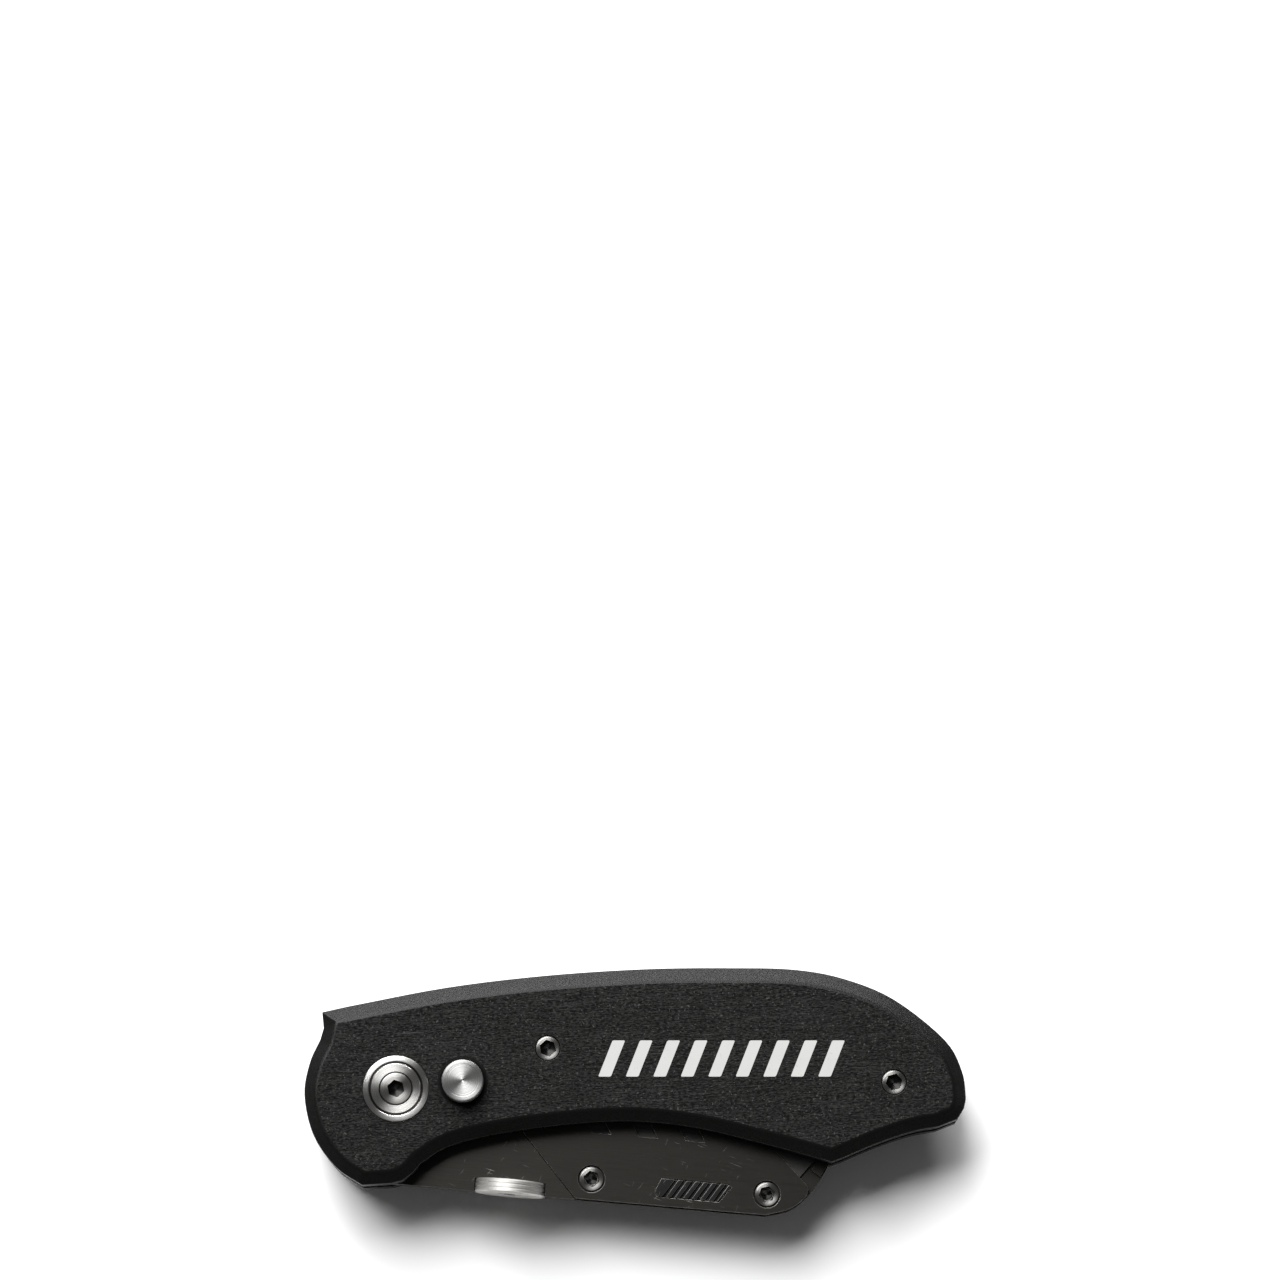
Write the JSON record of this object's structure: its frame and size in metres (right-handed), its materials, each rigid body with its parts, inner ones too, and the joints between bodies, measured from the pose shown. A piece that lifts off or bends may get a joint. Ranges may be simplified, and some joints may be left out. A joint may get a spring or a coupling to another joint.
{
  "type": "folding utility knife",
  "caption": "Folding pocket utility knife with chamfered aluminium scales, a button lock, a thumb disc and a steel carrier that clamps a trapezoid blade.",
  "frame": {"origin": "under the middle of the folded knife, at the height of the belt clip's outer face, which it lies on", "axes": "+X from the pivot end to the butt, +Y towards the spine, +Z through the thickness out of the front scale"},
  "size_m": [0.1204, 0.045, 0.0225],
  "materials": {
    "anodised_scale": "brushed and anodised black, satin",
    "spacer": "anodised black, satin",
    "turned_steel": "turned, fine concentric lines",
    "screw_steel": "plain steel",
    "washer_bronze": "satin bronze",
    "spring_steel": "oiled spring wire",
    "carrier_steel": "dark oxide coating, lightly scratched",
    "blade_steel": "ground satin steel",
    "latch_black": "black oxide, worn on the ribs",
    "clip_black": "black coating, satin"
  },
  "bodies": {
    "handle": {"front_scale": "anodised_scale", "rear_scale": "anodised_scale", "back_spacer": "spacer", "handle_screws": "screw_steel", "pivot_barrel": "turned_steel", "pivot_cap": "turned_steel", "pivot_screw": "screw_steel", "front_washer": "washer_bronze", "rear_washer": "washer_bronze", "stop_pins": "screw_steel", "lock_spring": "spring_steel", "belt_clip": "clip_black", "clip_screws": "screw_steel"},
    "lock": {"lock_button": "turned_steel", "lock_plunger": "screw_steel"},
    "carrier": {"carrier_body": "carrier_steel", "carrier_cover": "carrier_steel", "cover_screws": "screw_steel", "utility_blade": "blade_steel", "thumb_disc": "turned_steel", "thumb_disc_screw": "screw_steel", "latch_spring": "spring_steel"},
    "latch": {"blade_latch": "latch_black"}
  },
  "joints": [
    {"name": "blade_fold", "type": "hinge", "parent": "handle", "child": "carrier", "pos_m": [-0.0435, 0.00027, 0.0115], "axis": [0, 0, -1], "range_deg": [0, 180]},
    {"name": "lock_press", "type": "slide", "parent": "handle", "child": "lock", "axis": [0, 0, 1], "range_m": [-0.0018, 0], "stiffness_N_per_m": 500, "springref_m": 0.001, "deforming": ["lock_spring"]},
    {"name": "latch_press", "type": "slide", "parent": "carrier", "child": "latch", "axis": [0, 0, 1], "range_m": [-0.0009, 0], "stiffness_N_per_m": 400, "springref_m": 0.0006, "deforming": ["latch_spring"]}
  ]
}
